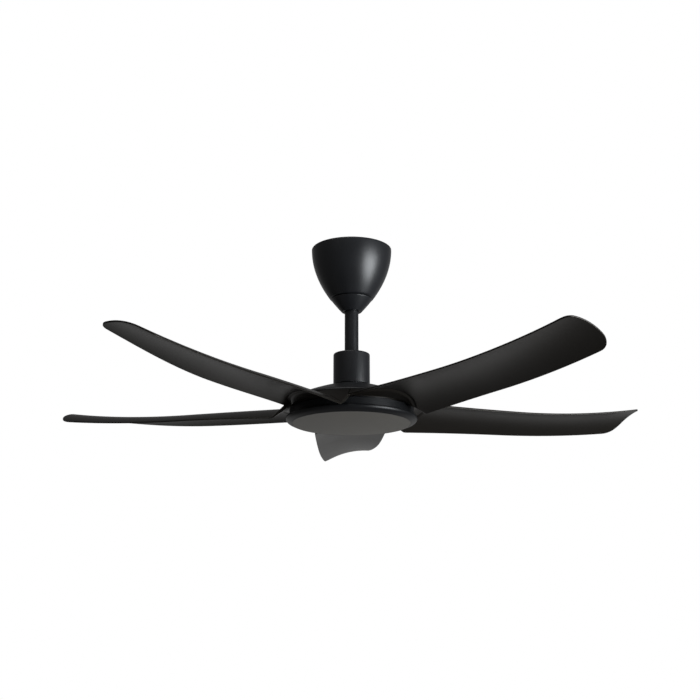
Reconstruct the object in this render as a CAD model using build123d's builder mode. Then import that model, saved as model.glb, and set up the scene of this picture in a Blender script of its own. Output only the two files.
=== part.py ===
"""Ceiling fan with light: five swept blades on a direct-drive motor, hung on a downrod.

Millimetres, +Z up. The origin is the centre of the ceiling bracket's top face, on the ceiling,
and the fan hangs below it. Heights of the motor, blades and light are counted from the blade
datum, the level `fan_drop` below the ceiling where the blades leave the hub.
"""
import os
from math import cos, radians, sin, sqrt, tan

from build123d import *

os.makedirs("parts", exist_ok=True)

# ---------------------------------------------------------------- driving dimensions
# Fits
slide_gap = 0.3          # between parts that slide or turn past each other
running_fit = 0.08       # radial, roller on its bolt
hole_gap = 0.1           # radial, bolt or screw in its hole
seat_gap = 0.05          # radial, bearing in its seat
air_gap = 0.5            # stator to magnets
through_cut = 400.0      # length of a cutter that goes right through
small_screw_radius = 1.5
case_screw_radius = 2.0

# Ceiling bracket: a strap plate with two ears
plate_length = 110.0
plate_width = 40.0
plate_thickness = 4.0
plate_round = 6.0
anchor_spacing = 80.0
anchor_hole_radius = 4.5
ear_thickness = 4.0
ear_width = 28.0
ear_gap = 0.5            # roller to ear

# Rubber roller on its bolt between the ears
roller_drop = 32.0       # ceiling to roller axis
roller_width = 20.0
roller_flange = 2.0
roller_flange_radius = 18.5
roller_bolt_radius = 5.0
bolt_flats = 17.0
bolt_head_height = 6.0
bolt_tail = 7.0          # bolt past its nut
bolt_chamfer = 0.8
washer_thickness = 1.6
washer_overhang = 1.5    # past the nut's flats
pin_radius = 1.2
pin_setback = 3.5        # split pin to the bolt's end
pin_overhang = 3.0       # split pin past the bolt, each side

# Terminal block on the bracket
terminal_length = 30.0
terminal_width = 11.0
terminal_height = 9.0
terminal_ways = 3
terminal_offset = 6.0    # bracket's ear to block
terminal_screw_depth = 3.0

# Downrod and the shackle that hangs it on the roller
rod_radius = 13.5
rod_wall = 2.5
rod_top = -62.0
rod_foot = 83.5          # above the blade datum
shackle_thickness = 3.0
shackle_width = 14.0
shackle_bolt_radius = 4.0
shackle_bolt_drop = 74.0
shackle_foot_drop = 88.0
shackle_flats = 13.0
shackle_head = 5.0
shackle_tail = 6.0

# Receiver box beside the rod, and the wire bundle down the rod
receiver_depth = 21.0
receiver_width = 34.0
receiver_height = 37.0
receiver_gap = 4.5       # canopy's floor to receiver
receiver_round = 3.0
receiver_edge = 2.0
receiver_seam = 1.2
receiver_seam_inset = 5.0
wire_radius = 2.2
wire_exit_height = 6.0   # above the receiver's bottom
wire_slot_gap = 1.3

# Canopy: a bell with a small cap below a shadow gap
canopy_gap = 4.0         # ceiling to rim
canopy_radius = 79.0
canopy_depth = 128.2     # rim to the cap's bottom
canopy_foot_radius = 20.5
canopy_wall = 2.0
cap_depth = 26.7         # shadow gap's top to the cap's bottom
seam_gap = 1.4
cap_inset = 0.9
cap_sleeve_wall = 4.0
cap_sleeve_height = 12.0
grub_radius = 2.0
flange_overhang = 6.0    # flange's hole past the rod
cap_neck_inset = 5.0     # neck ring inside the bell's wall
cap_neck_step = 4.0      # and outside the flange's hole
canopy_screw_count = 3

# Coupling cover: the collar above the hub
collar_radius = 35.4
collar_height = 62.0
collar_wall = 2.0
collar_round = 3.0
collar_sleeve_wall = 4.0
collar_sleeve_height = 9.0

# Levels that place the hub
fan_drop = 345.5         # ceiling to blade datum
collar_foot = 65.3       # above the datum
collar_gap = 1.6         # running gap, collar to hub cover

# Hub cover: the shallow dome above the blades
cover_neck_radius = 36.5
cover_overhang = 1.9     # rim past the light's ring
cover_gap = 0.5          # blades' roots to the cover's rim
cover_bulge = 2.2        # of the dome above the straight line from neck to rim
cover_wall = 2.5
cover_hole_radius = 24.0
cover_post_radius = 4.5

# Hub plate: the rotor's flange that carries the blades
plate_top = 17.8
hub_plate_thickness = 4.0
hub_plate_inset = 5.8    # inside the blades' band
bearing_boss_radius = 24.0
bearing_stop = 3.0       # depth of the lip that a bearing rests on
bearing_stop_height = 1.0

# Motor bell, magnets and stator
bell_radius = 72.0
bell_wall = 3.5
bell_top = 47.0
bell_flange_radius = 79.0
bell_flange_thickness = 3.0
bell_screw_count = 6
screw_head_height = 2.2
magnet_wall = 5.5
magnet_bottom = 20.0
magnet_top = 41.0
stator_bottom = 23.5
stator_top = 37.5
stator_slots = 12
stator_yoke_radius = 29.0
tooth_width = 8.0
shoe_depth = 5.0
shoe_share = 0.84        # of the pitch that a tooth's shoe covers
coil_thickness = 2.4
coil_inset = 1.5         # coil to yoke and to shoe
coil_round = 1.0

# Hollow motor shaft and its two ball bearings
shaft_radius = 8.5
shaft_bore = 5.5
shaft_top = 84.5
shaft_bottom = -7.5
shoulder_radius = 11.0
bearing_outer_radius = 20.0
bearing_width = 12.0
lower_bearing_foot = 8.0
upper_bearing_foot = 39.0
ball_radius = 3.3
ball_pitch_radius = 14.25
ball_count = 8
race_gap = 0.1
inner_race_radius = 12.0
outer_race_radius = 16.5
shaft_nut_height = 5.0
shaft_nut_flats = 26.0

# Rod-to-shaft coupling
coupling_radius = 19.0
coupling_head = 117.0    # above the blade datum
coupling_foot = 61.0
coupling_screw_heights = (108.0, 95.0)
coupling_screw_radius = 3.0
coupling_screw_flats = 10.0
coupling_screw_head = 4.5
coupling_chamfer = 1.5

# Blades
blade_count = 5
blade_azimuth = 13.15    # first blade, from +X
blade_tip_radius = 610.0
blade_thickness = 3.0
blade_crown = 28.6       # highest line of the inner blade above the datum
blade_section_radius = 164.7
blade_flat_end = 331.8   # radius where the upsweep begins
blade_upsweep = 0.000278 # rise per square of radius past the flat
blade_pitch = 3.4        # degrees at the end of the flat
blade_washout = 5.8      # more pitch at the tip
blade_offset = -6.8      # middle of the chord from the blade's radius, at the axis
blade_sweep = 0.091      # and its drift towards the trailing side
blade_half_width = 105.0 # of the curved slab that the outline is cut from
blade_under_depth = 70.0 # how far below the blade its root is kept clear
slab_start = 92.0
slab_overrun = 10.0      # slab past the tip
slab_stations = 8
outline_start = 95.0
leading_tip_setback = 1.0
trailing_tip_setback = 16.0
bulge_setback = 3.0
leading_offsets = (-76.4, -53.2, -33.8, -11.2, 9.5)   # leading edge at equal steps out to the tip
trailing_offsets = (82.0, 101.7, 112.8)                # trailing edge at root, middle and tip
tip_bulge = 55.0         # where along the chord the tip reaches furthest
tip_leading_round = 18.0
tip_trailing_round = 30.0

# Blade root: flat band, pad and the flare round the light's ring
root_clearance = 0.5     # blade's band past the light's ring
root_flare = 32.2        # flare's reach past the band
root_flare_drop = 23.5
root_crest = 30.4        # top of the root's band above the datum
root_shoulder = 1.0      # flat of the band's top past its outside
root_thickness = 4.0     # of the pad, and of the flare at its edge
seam_start = 40.1        # degrees from the blade's middle to its slanted seam, at the band
seam_lean = 18.3         # degrees from the blade's length to the seam
seam_half_gap = 0.6
band_overlap = 5.0       # band over the pad
pad_overlap = 1.0        # pad short of the band's outside
pad_half_angle = 27.0
pad_gap = 1.5            # motor bell's flange to pad
blade_screw_angles = (-19.0, 0.0, 19.0)
blade_screw_radius = 2.5

# Light housing, trim ring and diffuser
ring_radius = 119.3
ring_wall = 2.5
ring_top = 16.2
floor_thickness = 2.5
trim_screw_count = 4
trim_screw_inset = 2.6   # inside the ring's wall
trim_overhang = 6.6      # widest part past the ring
trim_lip = 1.6           # trim's joint above the housing's floor
trim_flange = 2.0
trim_foot = 1.2          # flat of the trim's bottom edge
trim_bottom = -10.8
trim_widest = -0.7
ledge_thickness = 2.4
ledge_gap = 0.7          # bayonet ledge to diffuser's skirt
gate_margin = 6.0        # degrees that a gate is wider than its lug
diffuser_inset = 6.3     # inside the ring's outside
diffuser_wall = 2.0
diffuser_dome = 4.5
skirt_inset = 3.8
skirt_top_height = -3.2
lug_count = 3
lug_angle = 12.0
lug_reach = 2.8
lug_thickness = 2.0
lug_rest = 25.0          # degrees from the gates to the lugs at rest
lug_gap = 0.6            # ledge to lug
board_thickness = 1.6
led_board_inset = 7.4    # inside the diffuser's skirt
led_board_hole = 20.0
led_ring_counts = (8, 14, 20)
led_ring_shares = (0.4, 0.66, 0.9)   # of the board's radius
led_size = 3.5
led_height = 1.0
driver_length = 60.0
driver_width = 28.0
driver_height = 6.5
driver_inset = 14.8      # inside the ring's wall
driver_round = 2.0
control_board_width = 50.4
capacitor_radius = 5.0
chip_size = 16.0
chip_height = 2.5

# ---------------------------------------------------------------- worked-out levels
roller_z = -roller_drop
rod_bottom = rod_foot - fan_drop
coupling_top = coupling_head - fan_drop
coupling_bottom = coupling_foot - fan_drop
coupling_screw_levels = [height - fan_drop for height in coupling_screw_heights]
groove_radius = rod_radius
canopy_rim = -canopy_gap
canopy_foot = canopy_rim - canopy_depth
seam_depth = canopy_depth - cap_depth
receiver_bottom = canopy_rim - seam_depth + canopy_wall + receiver_gap
receiver_top = receiver_bottom + receiver_height
wire_exit = receiver_bottom + wire_exit_height
canopy_taper = (canopy_radius - canopy_foot_radius) / canopy_depth**2
rod_bore = rod_radius - rod_wall
sleeve_bore = rod_radius + slide_gap
collar_bottom = collar_foot - fan_drop
collar_top = collar_bottom + collar_height
cover_neck_height = collar_foot - collar_gap
cover_rim_height = root_crest + cover_gap + cover_wall
plate_bottom = plate_top - hub_plate_thickness
magnet_outer = bell_radius - bell_wall
magnet_inner = magnet_outer - magnet_wall
stator_radius = magnet_inner - air_gap
blade_step = 360 / blade_count
upright = (Align.CENTER, Align.CENTER, Align.MIN)
hanging = (Align.CENTER, Align.CENTER, Align.MAX)
root_inner_radius = ring_radius + root_clearance
root_flare_radius = root_inner_radius + root_flare
seam_foot = root_inner_radius / 2
hub_plate_radius = root_inner_radius - hub_plate_inset
pad_inner_radius = bell_flange_radius + pad_gap
blade_screw_circle = (pad_inner_radius + root_inner_radius) / 2
bell_screw_circle = (bell_radius + bell_flange_radius) / 2
cover_post_circle = (bell_flange_radius + hub_plate_radius) / 2
cover_rim_radius = ring_radius + cover_overhang
trim_radius = ring_radius + trim_overhang
diffuser_radius = ring_radius - diffuser_inset
diffuser_skirt_radius = diffuser_radius - skirt_inset
led_board_radius = diffuser_skirt_radius - led_board_inset
driver_centre = ring_radius - ring_wall - driver_inset - driver_length / 2


def finish(builder, node):
    """Label a finished piece and write its STEP file."""
    builder.part.label = node
    export_step(builder.part, f"parts/{node}.step")


def at_datum(radius, height, azimuth=0.0):
    """A place on the fan at a height above the blade datum."""
    turn = radians(azimuth)
    return (radius * cos(turn), radius * sin(turn), height - fan_drop)


def screw(head_radius, head_height, shank_radius, shank_length):
    """A screw with its head's underside at the current place, shank down."""
    Cylinder(head_radius, head_height, align=upright)
    Cylinder(shank_radius, shank_length, align=hanging)


def wedge(reach, half_angle):
    """The corners of a wedge about the +X direction, for cutting a sector out of a ring."""
    side = reach * tan(radians(half_angle))
    return ((0, 0), (reach, -side), (reach, side))


def seam_point(along, turn, side):
    """A point of the slanted seam between two roots, turned about the axis, half the gap aside."""
    start = radians(seam_start + turn)
    lean = radians(seam_lean + turn)
    x = root_inner_radius * cos(start) + along * cos(lean) - side * seam_half_gap * sin(lean)
    y = root_inner_radius * sin(start) + along * sin(lean) + side * seam_half_gap * cos(lean)
    return x, y


def hex_prism(across_flats, height, plane, bore=0.0):
    """A hexagonal head or nut standing on a plane."""
    with BuildSketch(plane) as outline:
        RegularPolygon(across_flats / 2, 6, major_radius=False)
        if bore:
            Circle(bore, mode=Mode.SUBTRACT)
    extrude(outline.sketch, amount=height)


# ---------------------------------------------------------------- ceiling bracket (fixed)
ear_inner = roller_width / 2 + ear_gap
ear_outer = ear_inner + ear_thickness
with BuildPart() as ceiling_bracket:
    with BuildSketch(Plane.XY.offset(-plate_thickness)):
        RectangleRounded(plate_length, plate_width, plate_round)
        with GridLocations(anchor_spacing, 0, 2, 1):
            Circle(anchor_hole_radius, mode=Mode.SUBTRACT)
    extrude(amount=plate_thickness)
    for side in (-1, 1):
        ear_middle = (side * (ear_inner + ear_thickness / 2), 0, roller_z)
        with BuildSketch(Plane(ear_middle, x_dir=(0, 1, 0), z_dir=(1, 0, 0))):
            Circle(ear_width / 2)
            with Locations((0, (roller_drop - plate_thickness) / 2)):
                Rectangle(ear_width, roller_drop - plate_thickness)
            Circle(roller_bolt_radius + hole_gap, mode=Mode.SUBTRACT)
        extrude(amount=ear_thickness / 2, both=True)
finish(ceiling_bracket, "ceiling_bracket")

nut_face = ear_outer + washer_thickness
bolt_end = nut_face + bolt_head_height + bolt_tail
pin_x = bolt_end - pin_setback
with BuildPart() as roller_bolt:
    with BuildSketch(Plane.YZ.offset(-nut_face)):
        with Locations((0, roller_z)):
            Circle(roller_bolt_radius)
    extrude(amount=nut_face + bolt_end)
    hex_prism(bolt_flats, bolt_head_height, Plane((-nut_face, 0, roller_z), z_dir=(-1, 0, 0)))
    with Locations((pin_x, 0, roller_z)):
        Cylinder(pin_radius + hole_gap, bolt_flats, mode=Mode.SUBTRACT)
    chamfer(roller_bolt.faces().sort_by(Axis.X)[-1].edges(), bolt_chamfer)
finish(roller_bolt, "roller_bolt")

with BuildPart() as roller_nut:
    hex_prism(bolt_flats, bolt_head_height, Plane((nut_face, 0, roller_z), z_dir=(1, 0, 0)),
              roller_bolt_radius + hole_gap)
finish(roller_nut, "roller_nut")

with BuildPart() as roller_washers:
    for face_x in (-nut_face, ear_outer):
        with BuildSketch(Plane.YZ.offset(face_x)):
            with Locations((0, roller_z)):
                Circle(bolt_flats / 2 + washer_overhang)
                Circle(roller_bolt_radius + hole_gap, mode=Mode.SUBTRACT)
        extrude(amount=washer_thickness)
finish(roller_washers, "roller_washers")


def split_pin(place, bolt_radius):
    """An upright split pin through a bolt: a round wire with an eye at its top."""
    length = 2 * (bolt_radius + pin_overhang)
    with Locations(place):
        Cylinder(pin_radius, length)
        with Locations((0, 0, length / 2 + pin_radius)):
            Torus(1.5 * pin_radius, 0.75 * pin_radius, rotation=(90, 0, 0))


with BuildPart() as roller_split_pin:
    split_pin((pin_x, 0, roller_z), roller_bolt_radius)
finish(roller_split_pin, "roller_split_pin")

terminal_x = ear_outer + terminal_offset + terminal_width / 2
with BuildPart() as terminal_block:
    with Locations((terminal_x, 0, -plate_thickness)):
        Box(terminal_width, terminal_length, terminal_height, align=hanging)
    way_pitch = terminal_length / terminal_ways
    with Locations((terminal_x, 0, -plate_thickness - terminal_height)):
        with GridLocations(0, way_pitch, 1, terminal_ways):
            Cylinder(way_pitch / 4, terminal_screw_depth, mode=Mode.SUBTRACT)
    with Locations((terminal_x, 0, -plate_thickness - terminal_height * 0.6)):
        with GridLocations(0, way_pitch, 1, terminal_ways):
            Cylinder(way_pitch / 5, terminal_width, rotation=(0, 90, 0), mode=Mode.SUBTRACT)
finish(terminal_block, "terminal_block")

# ---------------------------------------------------------------- rubber roller
with BuildPart() as rubber_roller:
    for part_radius, part_width, place_x in (
        (groove_radius, roller_width, 0),
        (roller_flange_radius, roller_flange, (roller_flange - roller_width) / 2),
        (roller_flange_radius, roller_flange, (roller_width - roller_flange) / 2),
    ):
        with Locations((place_x, 0, roller_z)):
            Cylinder(part_radius, part_width, rotation=(0, 90, 0))
    with Locations((0, 0, roller_z)):
        Cylinder(roller_bolt_radius + running_fit, through_cut, rotation=(0, 90, 0), mode=Mode.SUBTRACT)
finish(rubber_roller, "rubber_roller")

# ---------------------------------------------------------------- shackle and downrod
shackle_inner = groove_radius + slide_gap
shackle_outer = shackle_inner + shackle_thickness
with BuildPart() as shackle:
    with BuildSketch(Plane.YZ):
        with Locations((0, roller_z)):
            Circle(shackle_outer)
        with Locations((0, (roller_z - shackle_foot_drop) / 2)):
            Rectangle(2 * shackle_outer, shackle_foot_drop - roller_drop)
        with Locations((0, roller_z)):
            Circle(shackle_inner, mode=Mode.SUBTRACT)
        with Locations((0, roller_z - through_cut / 2)):
            Rectangle(2 * shackle_inner, through_cut, mode=Mode.SUBTRACT)
    extrude(amount=shackle_width / 2, both=True)
    with Locations((0, 0, -shackle_bolt_drop)):
        Cylinder(shackle_bolt_radius + hole_gap, through_cut, rotation=(90, 0, 0), mode=Mode.SUBTRACT)
finish(shackle, "shackle")

shackle_bolt_end = shackle_outer + shackle_head + shackle_tail
shackle_pin_place = (0, shackle_bolt_end - pin_setback, -shackle_bolt_drop)
with BuildPart() as shackle_bolt:
    with Locations((0, (shackle_bolt_end - shackle_outer) / 2, -shackle_bolt_drop)):
        Cylinder(shackle_bolt_radius, shackle_bolt_end + shackle_outer, rotation=(90, 0, 0))
    hex_prism(shackle_flats, shackle_head, Plane((0, -shackle_outer, -shackle_bolt_drop), z_dir=(0, -1, 0)))
    with Locations(shackle_pin_place):
        Cylinder(pin_radius + hole_gap, shackle_flats, mode=Mode.SUBTRACT)
finish(shackle_bolt, "shackle_bolt")

with BuildPart() as shackle_nut:
    hex_prism(shackle_flats, shackle_head, Plane((0, shackle_outer, -shackle_bolt_drop), z_dir=(0, 1, 0)),
              shackle_bolt_radius + hole_gap)
finish(shackle_nut, "shackle_nut")

with BuildPart() as shackle_split_pin:
    split_pin(shackle_pin_place, shackle_bolt_radius)
finish(shackle_split_pin, "shackle_split_pin")

with BuildPart() as downrod:
    with BuildSketch(Plane.XY.offset(rod_bottom)):
        Circle(rod_radius)
        Circle(rod_bore, mode=Mode.SUBTRACT)
    extrude(amount=rod_top - rod_bottom)
    with Locations((0, 0, -shackle_bolt_drop)):
        Cylinder(shackle_bolt_radius + hole_gap, through_cut, rotation=(90, 0, 0), mode=Mode.SUBTRACT)
    wire_slot = wire_radius + wire_slot_gap
    with BuildSketch(Plane.YZ.offset(rod_bore / 2)):
        with Locations((0, wire_exit)):
            SlotCenterToCenter(2 * wire_slot, 2 * wire_slot, rotation=90)
    extrude(amount=rod_radius, mode=Mode.SUBTRACT)
finish(downrod, "downrod")

with BuildPart() as receiver_box:
    box_height = receiver_top - receiver_bottom
    with Locations((sleeve_bore + receiver_depth / 2, 0, (receiver_top + receiver_bottom) / 2)):
        Box(receiver_depth, receiver_width, box_height)
    fillet(receiver_box.edges().filter_by(Axis.Z), receiver_round)
    outer_face = receiver_box.faces().sort_by(Axis.X)[-1]
    fillet(outer_face.edges().filter_by(Axis.Y), receiver_edge)
    for seam_z in (receiver_top - receiver_seam_inset, receiver_bottom + receiver_seam_inset):
        with Locations((sleeve_bore + receiver_depth, 0, seam_z)):
            Box(receiver_seam, receiver_width / 2, receiver_seam, mode=Mode.SUBTRACT)
finish(receiver_box, "receiver_box")

with BuildPart() as wire_bundle:
    with BuildLine():
        FilletPolyline((0, 0, shaft_bottom - fan_drop), (0, 0, wire_exit),
                       (sleeve_bore, 0, wire_exit), radius=rod_radius)
    with BuildSketch(Plane.XY.offset(shaft_bottom - fan_drop)):
        Circle(wire_radius)
    sweep()
finish(wire_bundle, "wire_bundle")

# ---------------------------------------------------------------- rod-to-shaft coupling
with BuildPart() as shaft_coupling:
    with BuildSketch(Plane.XY.offset(coupling_bottom)):
        Circle(coupling_radius)
        Circle(shaft_radius + hole_gap, mode=Mode.SUBTRACT)
    extrude(amount=rod_bottom - coupling_bottom)
    with BuildSketch(Plane.XY.offset(rod_bottom)):
        Circle(coupling_radius)
        Circle(rod_radius + hole_gap, mode=Mode.SUBTRACT)
    extrude(amount=coupling_top - rod_bottom)
    for level in coupling_screw_levels:
        with Locations((0, 0, level)):
            Cylinder(coupling_screw_radius + hole_gap, through_cut, rotation=(90, 0, 0), mode=Mode.SUBTRACT)
    top_rim = shaft_coupling.faces().sort_by(Axis.Z)[-1].edges().sort_by(SortBy.RADIUS)[-1]
    chamfer(top_rim, coupling_chamfer)
finish(shaft_coupling, "shaft_coupling")

with BuildPart() as coupling_screws:
    for level in coupling_screw_levels:
        for side in (-1, 1):
            face = Plane((0, side * coupling_radius, level), z_dir=(0, side, 0))
            hex_prism(coupling_screw_flats, coupling_screw_head, face)
            with BuildSketch(face):
                Circle(coupling_screw_radius)
            extrude(amount=-(coupling_radius - rod_radius))
finish(coupling_screws, "coupling_screws")

# ---------------------------------------------------------------- canopy


def bell_radius_at(depth):
    """Radius of the canopy's outside at a depth below its rim: a parabola."""
    return canopy_radius - canopy_taper * depth**2


def bell_curve(top_depth, bottom_depth, inset):
    """The stretch of the bell's profile between two depths, set in by an amount."""
    middle_radius = canopy_radius - canopy_taper * top_depth * bottom_depth - inset
    return Bezier(
        (bell_radius_at(top_depth) - inset, canopy_rim - top_depth),
        (middle_radius, canopy_rim - (top_depth + bottom_depth) / 2),
        (bell_radius_at(bottom_depth) - inset, canopy_rim - bottom_depth),
    )


flange_depth = seam_depth - canopy_wall
flange_hole = rod_radius + flange_overhang
screw_circle = (flange_hole + cap_neck_step + bell_radius_at(seam_depth) - cap_neck_inset) / 2
with BuildPart() as canopy_shell:
    with BuildSketch(Plane.XZ):
        with BuildLine():
            outside = bell_curve(0, seam_depth, 0)
            inside = bell_curve(0, flange_depth, canopy_wall)
            Line(outside @ 0, inside @ 0)
            Polyline(inside @ 1, (flange_hole, canopy_rim - flange_depth),
                     (flange_hole, canopy_rim - seam_depth), outside @ 1)
        make_face()
    revolve(axis=Axis.Z)
    with PolarLocations(screw_circle, canopy_screw_count):
        Cylinder(small_screw_radius + hole_gap, through_cut, mode=Mode.SUBTRACT)
finish(canopy_shell, "canopy_shell")

cap_top_depth = seam_depth + seam_gap
with BuildPart() as canopy_cap:
    with BuildSketch(Plane.XZ):
        cap_floor = canopy_depth - canopy_wall
        sleeve_outer = sleeve_bore + cap_sleeve_wall
        with BuildLine():
            outside = bell_curve(cap_top_depth, canopy_depth, cap_inset)
            shelf = cap_top_depth + canopy_wall
            inside = bell_curve(shelf, cap_floor, cap_inset + canopy_wall)
            Polyline(outside @ 1, (sleeve_bore, canopy_rim - canopy_depth),
                     (sleeve_bore, canopy_rim - canopy_depth + cap_sleeve_height),
                     (sleeve_outer, canopy_rim - canopy_depth + cap_sleeve_height),
                     (sleeve_outer, canopy_rim - cap_floor), inside @ 1)
            neck_inner = flange_hole + cap_neck_step
            neck_outer = bell_radius_at(seam_depth) - cap_neck_inset
            Polyline(inside @ 0, (neck_inner, canopy_rim - shelf), (neck_inner, canopy_rim - seam_depth),
                     (neck_outer, canopy_rim - seam_depth), (neck_outer, canopy_rim - cap_top_depth),
                     outside @ 0)
        make_face()
    revolve(axis=Axis.Z)
    with Locations((0, 0, canopy_rim - seam_depth)):
        with PolarLocations(screw_circle, canopy_screw_count):
            Cylinder(small_screw_radius + hole_gap, cap_depth / 2, mode=Mode.SUBTRACT)
    grub_level = canopy_rim - canopy_depth + cap_sleeve_height / 2
    with Locations((0, 0, grub_level)):
        Cylinder(grub_radius + hole_gap, through_cut, rotation=(90, 0, 0), mode=Mode.SUBTRACT)
finish(canopy_cap, "canopy_cap")

with BuildPart() as canopy_screws:
    with Locations((0, 0, canopy_rim - flange_depth)):
        with PolarLocations(screw_circle, canopy_screw_count):
            screw(2 * small_screw_radius, screw_head_height, small_screw_radius, 2 * canopy_wall + seam_gap)
    for side in (-1, 1):
        with Locations((0, side * (sleeve_bore + cap_sleeve_wall / 2 + slide_gap), grub_level)):
            Cylinder(grub_radius, cap_sleeve_wall, rotation=(90, 0, 0))
finish(canopy_screws, "canopy_screws")

# ---------------------------------------------------------------- coupling cover (collar)
with BuildPart() as coupling_cover:
    with BuildSketch(Plane.XZ):
        sleeve_outer = sleeve_bore + collar_sleeve_wall
        inner = collar_radius - collar_wall
        with BuildLine():
            Polyline((sleeve_bore, collar_top), (collar_radius, collar_top), (collar_radius, collar_bottom),
                     (inner, collar_bottom), (inner, collar_top - collar_wall),
                     (sleeve_outer, collar_top - collar_wall),
                     (sleeve_outer, collar_top - collar_sleeve_height),
                     (sleeve_bore, collar_top - collar_sleeve_height), close=True)
        make_face()
        top_corner = vertices().sort_by(Axis.X)[-2:].sort_by(Axis.Y)[-1]
        fillet(top_corner, collar_round)
    revolve(axis=Axis.Z)
finish(coupling_cover, "coupling_cover")

# ---------------------------------------------------------------- hub cover (rotor)
with BuildPart() as hub_cover:
    with BuildSketch(Plane.XZ):
        neck = Vector(cover_neck_radius, cover_neck_height - fan_drop)
        rim = Vector(cover_rim_radius, cover_rim_height - fan_drop)
        middle = (neck + rim) / 2
        bulge = Vector(neck.Y - rim.Y, rim.X - neck.X).normalized()
        with BuildLine():
            outside = ThreePointArc(neck, middle + bulge * cover_bulge, rim)
            drop = Vector(0, cover_wall)
            inside = ThreePointArc(neck - drop, middle + bulge * cover_bulge - drop, rim - drop)
            Line(outside @ 1, inside @ 1)
            Polyline(outside @ 0, (cover_hole_radius, neck.Y), (cover_hole_radius, neck.Y - cover_wall),
                     inside @ 0)
        make_face()
    revolve(axis=Axis.Z)
    with BuildSketch(Plane.XY.offset(plate_top - fan_drop)):
        with PolarLocations(cover_post_circle, blade_count, start_angle=blade_azimuth + blade_step / 2):
            Circle(cover_post_radius)
            Circle(small_screw_radius + hole_gap, mode=Mode.SUBTRACT)
    extrude(until=Until.NEXT)
finish(hub_cover, "hub_cover")


def ring(outer, inner, bottom, top):
    """A plain ring about the fan's axis between two heights above the blade datum."""
    with BuildSketch(Plane.XY.offset(bottom - fan_drop)) as outline:
        Circle(outer)
        Circle(inner, mode=Mode.SUBTRACT)
    extrude(outline.sketch, amount=top - bottom)


# ---------------------------------------------------------------- motor: rotor side
blade_screw_places = [
    at_datum(blade_screw_circle, plate_top, blade_azimuth + blade * blade_step + turn)
    for blade in range(blade_count)
    for turn in blade_screw_angles
]
with BuildPart() as hub_plate:
    boss_bottom = lower_bearing_foot - bearing_stop_height
    ring(hub_plate_radius, bearing_outer_radius + seat_gap, plate_bottom, plate_top)
    boss_top = lower_bearing_foot + bearing_width
    ring(bearing_boss_radius, bearing_outer_radius + seat_gap, boss_bottom, boss_top)
    ring(bearing_boss_radius, bearing_outer_radius - bearing_stop, boss_bottom, lower_bearing_foot)
    with Locations(*blade_screw_places):
        Cylinder(blade_screw_radius + hole_gap, through_cut, mode=Mode.SUBTRACT)
    with Locations((0, 0, -fan_drop)):
        with PolarLocations(bell_screw_circle, bell_screw_count):
            Cylinder(case_screw_radius + hole_gap, through_cut, mode=Mode.SUBTRACT)
        with PolarLocations(cover_post_circle, blade_count, start_angle=blade_azimuth + blade_step / 2):
            Cylinder(small_screw_radius + hole_gap, through_cut, mode=Mode.SUBTRACT)
finish(hub_plate, "hub_plate")

with BuildPart() as motor_bell:
    ring(bell_radius, bearing_outer_radius + seat_gap, bell_top - bell_wall, bell_top)
    ring(bell_radius, magnet_outer, plate_top, bell_top)
    ring(bell_flange_radius, magnet_outer, plate_top, plate_top + bell_flange_thickness)
    stop_foot = upper_bearing_foot + bearing_width
    ring(bearing_boss_radius, bearing_outer_radius + seat_gap, upper_bearing_foot, stop_foot)
    ring(bearing_boss_radius, bearing_outer_radius - bearing_stop, stop_foot, stop_foot + bearing_stop_height)
    bell_corner = motor_bell.edges().filter_by(GeomType.CIRCLE).group_by(Axis.Z)[-3]
    fillet([edge for edge in bell_corner if edge.radius > magnet_outer], bell_wall)
    with Locations((0, 0, plate_top - fan_drop)):
        with PolarLocations(bell_screw_circle, bell_screw_count):
            Cylinder(case_screw_radius + hole_gap, 2 * bell_flange_thickness, mode=Mode.SUBTRACT)
finish(motor_bell, "motor_bell")

with BuildPart() as bell_screws:
    with Locations((0, 0, plate_top + bell_flange_thickness - fan_drop)):
        with PolarLocations(bell_screw_circle, bell_screw_count):
            screw(1.6 * case_screw_radius, screw_head_height, case_screw_radius,
                  bell_flange_thickness + hub_plate_thickness)
finish(bell_screws, "bell_screws")

with BuildPart() as blade_screws:
    with Locations(*[(x, y, z + root_thickness) for x, y, z in blade_screw_places]):
        screw(1.8 * blade_screw_radius, screw_head_height, blade_screw_radius,
              root_thickness + hub_plate_thickness)
finish(blade_screws, "blade_screws")

with BuildPart() as cover_screws:
    with Locations(Location((0, 0, plate_bottom - fan_drop), (180, 0, 0))):
        with PolarLocations(cover_post_circle, blade_count, start_angle=-blade_azimuth - blade_step / 2):
            screw(2 * small_screw_radius, screw_head_height, small_screw_radius, 3 * hub_plate_thickness)
finish(cover_screws, "cover_screws")

with BuildPart() as magnet_ring:
    ring(magnet_outer, magnet_inner, magnet_bottom, magnet_top)
finish(magnet_ring, "magnet_ring")

# ---------------------------------------------------------------- motor: ball bearings
bearing_feet = (lower_bearing_foot, upper_bearing_foot)


def race(outer, inner):
    """One race of each bearing, with the balls' groove cut round it."""
    for foot in bearing_feet:
        ring(outer, inner, foot, foot + bearing_width)
        with Locations((0, 0, foot + bearing_width / 2 - fan_drop)):
            Torus(ball_pitch_radius, ball_radius + race_gap, mode=Mode.SUBTRACT)


with BuildPart() as bearing_outer_races:
    race(bearing_outer_radius, outer_race_radius)
finish(bearing_outer_races, "bearing_outer_races")

with BuildPart() as bearing_inner_races:
    race(inner_race_radius, shaft_radius + seat_gap)
finish(bearing_inner_races, "bearing_inner_races")

with BuildPart() as bearing_balls:
    for foot in bearing_feet:
        with Locations((0, 0, foot + bearing_width / 2 - fan_drop)):
            with PolarLocations(ball_pitch_radius, ball_count):
                Sphere(ball_radius)
finish(bearing_balls, "bearing_balls")

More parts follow.
